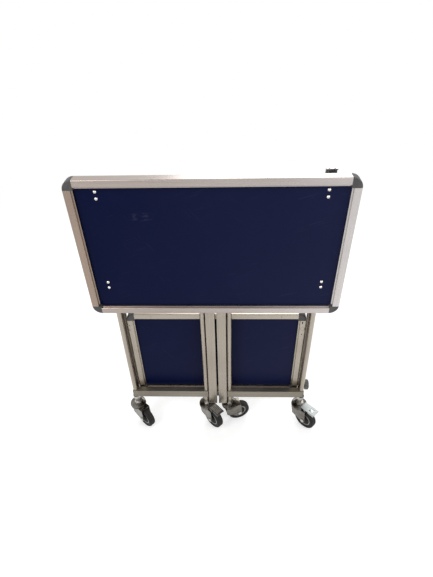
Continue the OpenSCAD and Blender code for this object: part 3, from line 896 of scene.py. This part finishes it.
@dataclass
class Tabletop(FramedPanel):
    """The tabletop with the fittings on its back."""

    name: str = "tabletop"
    level_finish: Anodised = TABLETOP_LEVEL
    upright_finish: Anodised = TABLETOP_UPRIGHT

    def build(self) -> None:
        """Builds the framed panel, then its bolts and fittings."""
        super().build()
        self.carry("tabletop_bolts", BOLT, Slot.BOLT, 0.25 * MM)
        self.carry("hinge_straps", ZINC, Slot.ZINC)
        self.carry("hinge_pins", BOLT, Slot.BOLT, 0.3 * MM)
        self.carry("support_catches", ZINC, Slot.ZINC)


@dataclass
class Shelf(FramedPanel):
    """The lower shelf, with small holes, painted as spots of shade, and a worn ring on the uprights of its
    rim.
    """

    name: str = "shelf"
    level_finish: Anodised = SHELF_LEVEL
    upright_finish: Anodised = SHELF_UPRIGHT


@dataclass
class RearFrame(Assembly):
    """The rear posts and rails with their hinges, latch plate, screws and clamp knob."""

    def build(self) -> None:
        """Builds every piece of the rear frame."""
        for node in ("left_post", "right_post"):
            self.carry(node, POST, Slot.ALUMINIUM, 1.0 * MM)
        for node in ("rear_lower_rail", "rear_upper_rail"):
            self.carry(node, RAIL, Slot.ALUMINIUM, 0.8 * MM)
        self.carry("post_caps", CAP, Slot.CORNER, 0.9 * MM)
        self.carry("hinge_collars", ZINC, Slot.ZINC)
        self.carry("hinge_brackets", ZINC, Slot.ZINC)
        self.carry("latch_plate", ZINC, Slot.ZINC, 0.7 * MM)
        self.carry("frame_screws", BOLT, Slot.BOLT, 0.3 * MM)
        self.carry("shelf_knob", KNOB, Slot.NYLON, 1.1 * MM)


@dataclass
class Gate(Assembly):
    """One gate with its sockets, guide shoes, caster stems and support bar."""

    side: Side = Side.LEFT

    def build(self) -> None:
        """Builds every piece of the gate and its support bar."""
        label = self.side.value
        self.carry(f"{label}_gate_rail", SHADED_GATE_RAIL, Slot.ALUMINIUM, 0.8 * MM)
        self.carry(f"{label}_gate_top_rail", SHADED_GATE_RAIL, Slot.ALUMINIUM, 0.6 * MM)
        for part in ("gate_outer_stile", "gate_inner_stile", "gate_sockets", "support_bar"):
            self.carry(f"{label}_{part}", STILE, Slot.ALUMINIUM, 0.7 * MM)
        self.carry(f"{label}_gate_end_plugs", CAP, Slot.ALUMINIUM, 0.8 * MM)
        self.carry(f"{label}_bar_caps", STILE, Slot.ALUMINIUM, 0.8 * MM)
        self.carry(f"{label}_bar_shoes", NYLON, Slot.NYLON, 0.6 * MM)
        self.carry(f"{label}_caster_stems", ZINC, Slot.ZINC, 0.5 * MM)


@dataclass
class Caster(Assembly):
    """One swivel caster: fork, axle, hub, tyre and, on two of them, a brake pedal.

    The sizes of its wheel are in millimetres.
    """

    label: str = "left"
    pedal: Pedal = Pedal.NONE
    wheel_r: float = 40.0
    tyre_half: float = 12.0
    shoulder_r: float = 6.0
    hub_r: float = 28.0
    rim_depth: float = 6.0
    boss_r: float = 9.0
    boss_half: float = 15.0
    bore_r: float = 4.08
    web_half: float = 4.0
    ribs: int = 8
    rib_w: float = 2.2
    rib_h: float = 4.6
    rib_sunk: float = 0.5

    def wheel_place(self) -> Matrix:
        """The place of the wheel.

        Returns:
            The matrix that puts a piece turned round Z on the wheel's axle.
        """
        spin = joint_of(f"{self.label}_spin")
        axis = Vector(spin["axis"]).normalized()
        side = Vector((0.0, 0.0, 1.0)).cross(axis).normalized()
        turn = Matrix((side, axis.cross(side), axis)).transposed().to_4x4()
        return Matrix.Translation(Vector(spin["pos_m"])) @ turn

    def tyre_mesh(self) -> bmesh.types.BMesh:
        """The tyre, with beads on its sides and a parting line round its tread.

        Returns:
            The mesh, turned round Z.
        """
        bead, half, shoulder = self.hub_r, self.tyre_half, self.shoulder_r
        side = [(bead, half - 2.5), (bead + 1.0, half - 1.6), (bead + 1.7, half - 0.7),
                (bead + 2.6, half - 0.7), (bead + 3.1, half - 0.1), (bead + 4.6, half)]
        for step in range(9):
            angle = math.radians(90.0 - step * 10.5)
            side.append((self.wheel_r - shoulder + shoulder * math.cos(angle),
                         half - shoulder + shoulder * math.sin(angle)))
        side += [(self.wheel_r, 0.9), (self.wheel_r - 0.3, 0.35)]
        return revolved(mirrored(side))

    def hub_mesh(self) -> bmesh.types.BMesh:
        """The hub: boss, web, rim with stepped rings, and ribs on both sides.

        Returns:
            The mesh, turned round Z.
        """
        boss, half, web = self.boss_r, self.boss_half, self.web_half
        rim = self.hub_r - self.rim_depth
        mesh = revolved(mirrored([
            (self.bore_r, half - 0.4), (self.bore_r + 0.42, half), (boss - 0.8, half), (boss, half - 0.8),
            (boss, web + 1.6), (boss + 1.4, web), (rim - 1.4, web), (rim - 0.4, web + 1.2),
            (rim, web + 4.6), (rim + 0.7, web + 5.3), (rim + 2.6, web + 5.3), (rim + 2.9, web + 4.7),
            (rim + 3.7, web + 4.7), (rim + 4.0, web + 5.4), (self.hub_r, web + 5.4),
        ]))
        sunk = self.rib_sunk
        length = rim - boss + 2 * sunk
        start = Matrix.Translation(Vector((boss - sunk + length / 2, 0.0, web - sunk)) * MM)
        size = (length * MM, self.rib_w * MM, self.rib_h * MM)
        for index in range(self.ribs):
            turned = Matrix.Rotation(2 * math.pi * index / self.ribs, 4, "Z") @ start
            for facing in (0.0, math.pi):
                added_block(mesh, size, Matrix.Rotation(facing, 4, "X") @ turned)
        return mesh

    def add_turned(self, part: str, mesh: bmesh.types.BMesh, sharp: float,
                   finish: Finish, slot: Slot) -> None:
        """Puts a turned piece on the wheel's axle and dresses it.

        Args:
            part: the end of its CAD node's name.
            mesh: the piece, turned round Z.
            sharp: the smallest angle between faces, in degrees, that counts as an edge.
            finish: its finish.
            slot: its material slot.
        """
        node = f"{self.label}_{part}"
        made = linked_object(f"{node}_form", mesh)
        made.data.shade_smooth()
        made.data.set_sharp_from_angle(angle=math.radians(sharp))
        made.matrix_world = self.wheel_place()
        bpy.context.view_layer.update()
        self.keep(made, finish, slot, f"{self.label}_wheel", node)

    def build(self) -> None:
        """Builds every piece of the caster."""
        self.carry(f"{self.label}_fork", CHROME, Slot.CHROME, 0.6 * MM)
        self.carry(f"{self.label}_axle", ZINC, Slot.ZINC, 0.4 * MM)
        self.add_turned("hub", self.hub_mesh(), 30.0, RingedHub(), Slot.HUB)
        self.add_turned("tyre", self.tyre_mesh(), 50.0, Rubber(), Slot.TYRE)
        pedal = f"{self.label}_pedal"
        if self.pedal is Pedal.RIBBED:
            # The rib tops above a height just under their top get the painted highlight.
            rib_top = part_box(pedal)[1].z
            self.carry(pedal, RibbedSteel(rib_top - 0.8 * MM), Slot.PEDAL, 0.4 * MM)
        elif self.pedal is Pedal.PLAIN:
            self.carry(pedal, PEDAL_ZINC, Slot.ZINC, 0.5 * MM)


# ---- Stage ----


@dataclass(frozen=True)
class Lamp:
    """A soft square lamp: its place and side in metres, and its power in watts."""

    name: str
    place: Colour
    power: float
    size: float = 1.8

    def build(self, target: Vector) -> None:
        """Hangs the lamp.

        Args:
            target: the point that it faces.
        """
        data = bpy.data.lights.new(self.name, "AREA")
        data.shape = "SQUARE"
        data.size = self.size
        data.energy = self.power
        made = bpy.data.objects.new(self.name, data)
        made.location = self.place
        made.rotation_euler = (target - Vector(self.place)).to_track_quat("-Z", "Y").to_euler()
        bpy.context.scene.collection.objects.link(made)


@dataclass
class Studio:
    """Pale floor, soft lamps, white surroundings and the camera.

    Lengths are in metres, angles in degrees and the lens in millimetres.
    """

    camera_at: tuple[float, float] = (0.0467, -0.9585)
    camera_above_top: float = 0.4129
    pitch: float = 38.34
    yaw: float = -2.45
    roll: float = -1.62
    lens: float = 26.86
    world_light: float = 0.45
    floor_half: float = 60.0
    floor_tone: float = 0.82
    floor_glow: float = 0.42
    floor_fade: tuple[float, float] = (1.1, 2.6)
    aim_z: float = 0.5
    lamps: tuple[Lamp, ...] = (
        Lamp("lamp_left", (-2.0, -1.9, 2.6), 46.0),
        Lamp("lamp_right", (2.3, -1.5, 2.3), 34.0),
        Lamp("lamp_rear", (0.4, 2.4, 2.6), 30.0),
    )

    def build_world(self) -> None:
        """White surroundings that light the trolley softly."""
        world = bpy.data.worlds.new("surroundings")
        bpy.context.scene.world = world
        nodes = NodeTree(world)
        colour = nodes.mixed(nodes.looking(), (self.world_light,) * 3, (1.0, 1.0, 1.0))
        background = nodes.node("ShaderNodeBackground", inputs={"Color": colour, "Strength": 1.0})
        nodes.node("ShaderNodeOutputWorld", inputs={"Surface": background.outputs[0]})

    def floor_material(self) -> bpy.types.Material:
        """A pale surface that keeps a shadow and turns white far away.

        Returns:
            The material.
        """
        material = bpy.data.materials.new("pale_floor")
        nodes = NodeTree(material)
        looking = nodes.looking()
        diffuse = nodes.node("ShaderNodeBsdfDiffuse", inputs={"Color": (*(self.floor_tone,) * 3, 1.0)})
        light = nodes.mixed(looking, (0.0, 0.0, 0.0), (self.floor_glow,) * 3)
        glow = nodes.node("ShaderNodeEmission", inputs={"Color": light})
        near = nodes.node("ShaderNodeAddShader", inputs={0: diffuse.outputs[0], 1: glow.outputs[0]})
        white = nodes.node("ShaderNodeEmission", inputs={"Color": (1.0, 1.0, 1.0, 1.0)})
        place = nodes.node("ShaderNodeTexCoord").outputs["Object"]
        length = nodes.node("ShaderNodeVectorMath", {"operation": "LENGTH"}, {0: place}).outputs["Value"]
        far = Amount(nodes, length).eased(*self.floor_fade) * looking
        blend = nodes.node("ShaderNodeMixShader", inputs={0: far, 1: near.outputs[0], 2: white.outputs[0]})
        nodes.node("ShaderNodeOutputMaterial", inputs={"Surface": blend.outputs[0]})
        return material

    def build_floor(self) -> None:
        """A wide floor under the trolley."""
        mesh = bmesh.new()
        bmesh.ops.create_grid(mesh, x_segments=2, y_segments=2, size=self.floor_half)
        floor = linked_object("floor", mesh)
        floor.data.materials.append(self.floor_material())

    def build_camera(self) -> None:
        """The camera, looking down at the folded trolley."""
        pitch, yaw, roll = (math.radians(angle) for angle in (self.pitch, self.yaw, self.roll))
        forward = Vector((math.sin(yaw) * math.cos(pitch), math.cos(yaw) * math.cos(pitch), -math.sin(pitch)))
        level = Vector((math.cos(yaw), -math.sin(yaw), 0.0))
        upward = level.cross(forward)
        right = math.cos(roll) * level + math.sin(roll) * upward
        top = -math.sin(roll) * level + math.cos(roll) * upward
        data = bpy.data.cameras.new("camera")
        data.sensor_width = 36.0
        data.lens = self.lens
        data.clip_start, data.clip_end = 0.05, 200.0
        camera = bpy.data.objects.new("camera", data)
        turn = Matrix((right, top, -forward)).transposed().to_4x4()
        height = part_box("tabletop_rim")[1].z + self.camera_above_top
        camera.matrix_world = Matrix.Translation(Vector((*self.camera_at, height))) @ turn
        bpy.context.scene.collection.objects.link(camera)
        bpy.context.scene.camera = camera
        bpy.context.scene.view_settings.view_transform = "Standard"

    def build(self) -> None:
        """Builds the whole stage."""
        self.build_world()
        self.build_floor()
        for lamp in self.lamps:
            lamp.build(Vector((0.0, 0.0, self.aim_z)))
        self.build_camera()


def main() -> None:
    """Builds the stage and every sub-assembly."""
    logging.basicConfig(level=logging.INFO, format="%(name)s: %(message)s")
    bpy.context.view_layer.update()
    Studio().build()
    assemblies: list[Assembly] = [
        RearFrame(), Tabletop(), Shelf(), Gate(side=Side.LEFT), Gate(side=Side.RIGHT),
        Caster(label="left"), Caster(label="centre_left", pedal=Pedal.RIBBED),
        Caster(label="centre_right"), Caster(label="right", pedal=Pedal.PLAIN),
    ]
    for assembly in assemblies:
        assembly.build()
        log.info("%s: %d pieces", type(assembly).__name__, len(assembly.pieces))


if __name__ == "__main__":
    main()
